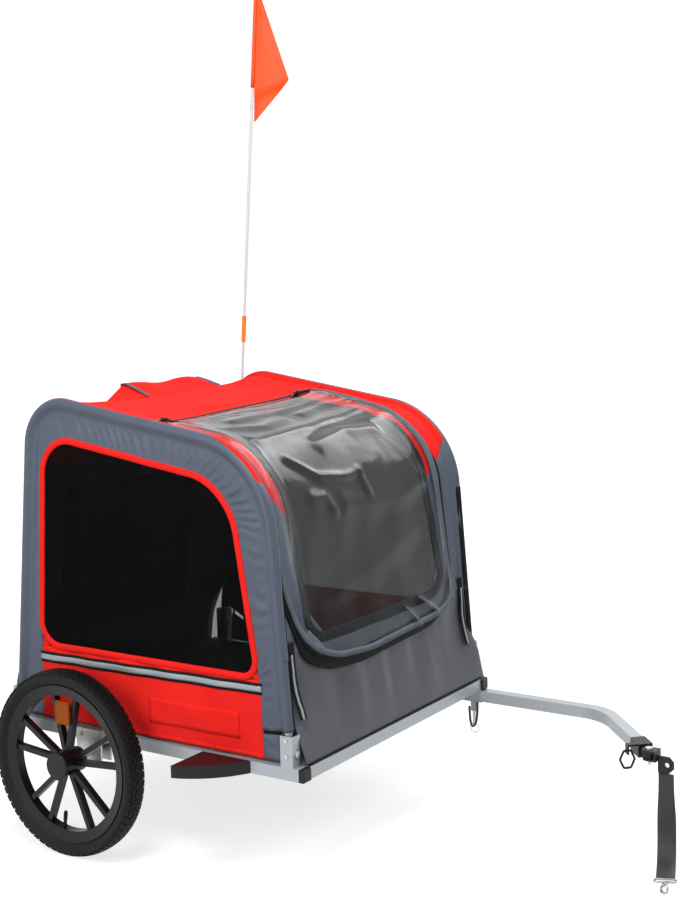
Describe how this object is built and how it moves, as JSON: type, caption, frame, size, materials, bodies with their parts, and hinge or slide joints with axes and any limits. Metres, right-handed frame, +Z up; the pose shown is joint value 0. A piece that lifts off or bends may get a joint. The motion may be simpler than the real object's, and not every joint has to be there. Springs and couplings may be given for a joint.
{
  "type": "dog bicycle trailer",
  "caption": "Two-wheeled pet trailer with a folding fabric cabin on a square-tube chassis, clear front flap, angled drawbar, safety strap and pennant.",
  "frame": {"origin": "on the ground, under the middle of the trailer's length and width (safety strap and lanyard left out)", "axes": "+X forward to the hitch, +Y to the left, +Z up"},
  "size_m": [1.4202, 0.91, 1.8884],
  "materials": {
    "frame_paint": "silver-grey satin paint",
    "hoop_steel": "grey paint",
    "zinc_steel": "zinc plated",
    "chrome_hardware": "nickel plated",
    "dark_steel": "black coated",
    "black_plastic": "moulded",
    "floor_board": "dark coated board",
    "amber_plastic": "amber reflector",
    "tyre_rubber": "block tread",
    "grey_nylon": "satin woven nylon",
    "red_nylon": "woven nylon",
    "black_mesh": "open net",
    "clear_vinyl": "clear soft sheet",
    "black_webbing": "woven webbing",
    "white_fibreglass": "smooth white",
    "orange_plastic": "orange",
    "orange_flag": "thin orange sheet"
  },
  "bodies": {
    "chassis": {"right_side_rail": "frame_paint", "left_side_rail": "frame_paint", "front_cross_rail": "frame_paint", "rear_cross_rail": "frame_paint", "middle_cross_rails": "frame_paint", "rail_end_plugs": "black_plastic", "floor_panel": "floor_board", "hinge_brackets": "frame_paint", "hinge_pins": "zinc_steel", "frame_fasteners": "zinc_steel", "axle_brackets": "zinc_steel", "axles": "zinc_steel", "axle_latches": "black_plastic", "wheel_guards": "black_plastic", "drawbar_bracket": "frame_paint", "drawbar_pivot_bolt": "zinc_steel", "pin_lanyard": "black_webbing", "flag_holder": "black_plastic", "roof_panel": "red_nylon", "roof_flap_roll": "red_nylon", "rear_panel": "grey_nylon", "rear_mesh": "black_mesh", "front_panel": "grey_nylon", "front_gussets": "grey_nylon"},
    "right_arch": {"right_hoop": "hoop_steel", "right_side_cover": "grey_nylon", "right_lower_panel": "red_nylon", "right_window_mesh": "black_mesh", "right_window_piping": "red_nylon"},
    "left_arch": {"left_hoop": "hoop_steel", "left_side_cover": "grey_nylon", "left_lower_panel": "red_nylon", "left_window_mesh": "black_mesh", "left_window_piping": "red_nylon"},
    "right_wheel": {"right_tyre": "tyre_rubber", "right_rim": "black_plastic", "right_bearings": "zinc_steel", "right_hub_cap": "black_plastic", "right_reflector": "amber_plastic"},
    "left_wheel": {"left_tyre": "tyre_rubber", "left_rim": "black_plastic", "left_bearings": "zinc_steel", "left_hub_cap": "black_plastic", "left_reflector": "amber_plastic"},
    "front_door": {"front_mesh": "black_mesh", "rain_cover": "clear_vinyl"},
    "drawbar": {"drawbar_tube": "frame_paint", "hitch_socket": "black_plastic", "hitch_pin": "zinc_steel"},
    "hitch_bail": {"hitch_bail": "dark_steel"},
    "hitch": {"coupling_plate": "dark_steel", "safety_strap": "black_webbing", "strap_loop": "chrome_hardware", "snap_hook": "chrome_hardware"},
    "hook_gate": {"hook_gate": "chrome_hardware"},
    "lock_pin": {"lock_pin": "zinc_steel"},
    "flag": {"flag_pole_lower": "white_fibreglass", "flag_pole_upper": "white_fibreglass", "flag_ferrule": "orange_plastic", "flag": "orange_flag"}
  },
  "joints": [
    {"name": "right_arch_fold", "type": "hinge", "parent": "chassis", "child": "right_arch", "pos_m": [-0.64163, -0.3435, 0.277], "axis": [1, 0, 0], "range_deg": [-90, 0], "deforming": ["roof_panel", "roof_flap_roll", "rear_panel", "rear_mesh", "front_panel", "front_gussets", "front_mesh", "rain_cover"]},
    {"name": "left_arch_fold", "type": "hinge", "parent": "chassis", "child": "left_arch", "pos_m": [-0.63935, 0.3435, 0.2986], "axis": [-1, 0, 0], "range_deg": [-90, 0], "deforming": ["roof_panel", "roof_flap_roll", "rear_panel", "rear_mesh", "front_panel", "front_gussets", "front_mesh", "rain_cover"]},
    {"name": "right_wheel_spin", "type": "hinge", "parent": "chassis", "child": "right_wheel", "pos_m": [-0.43097, -0.419, 0.197], "axis": [0, 1, 0], "continuous": true},
    {"name": "left_wheel_spin", "type": "hinge", "parent": "chassis", "child": "left_wheel", "pos_m": [-0.43097, 0.419, 0.197], "axis": [0, 1, 0], "continuous": true},
    {"name": "front_door_lift", "type": "hinge", "parent": "chassis", "child": "front_door", "pos_m": [-0.23097, 0, 0.90801], "axis": [0, -1, 0], "range_deg": [0, 100]},
    {"name": "drawbar_stow", "type": "hinge", "parent": "chassis", "child": "drawbar", "pos_m": [0.00903, 0.3435, 0.211], "axis": [0, 0, 1], "range_deg": [-90, 0]},
    {"name": "lock_pin_slide", "type": "slide", "parent": "chassis", "child": "lock_pin", "axis": [0, 0, 1], "range_m": [0, 0.022]},
    {"name": "hitch_swivel", "type": "hinge", "parent": "drawbar", "child": "hitch", "pos_m": [0.63197, 0.14784, 0.211], "axis": [0, 0, 1], "range_deg": [-90, 40]},
    {"name": "bail_swing", "type": "hinge", "parent": "drawbar", "child": "hitch_bail", "pos_m": [0.58385, 0.14585, 0.211], "axis": [0.7193, 0.6947, 0], "range_deg": [-50, 50]},
    {"name": "hook_gate_swing", "type": "hinge", "parent": "hitch", "child": "hook_gate", "pos_m": [0.72611, 0.01313, 0.0025], "axis": [0, 0, -1], "range_deg": [0, 20], "stiffness_Nm_per_rad": 0.02},
    {"name": "flag_lift", "type": "slide", "parent": "chassis", "child": "flag", "axis": [0.0924, 0, 0.9957], "range_m": [0, 0.3]}
  ]
}
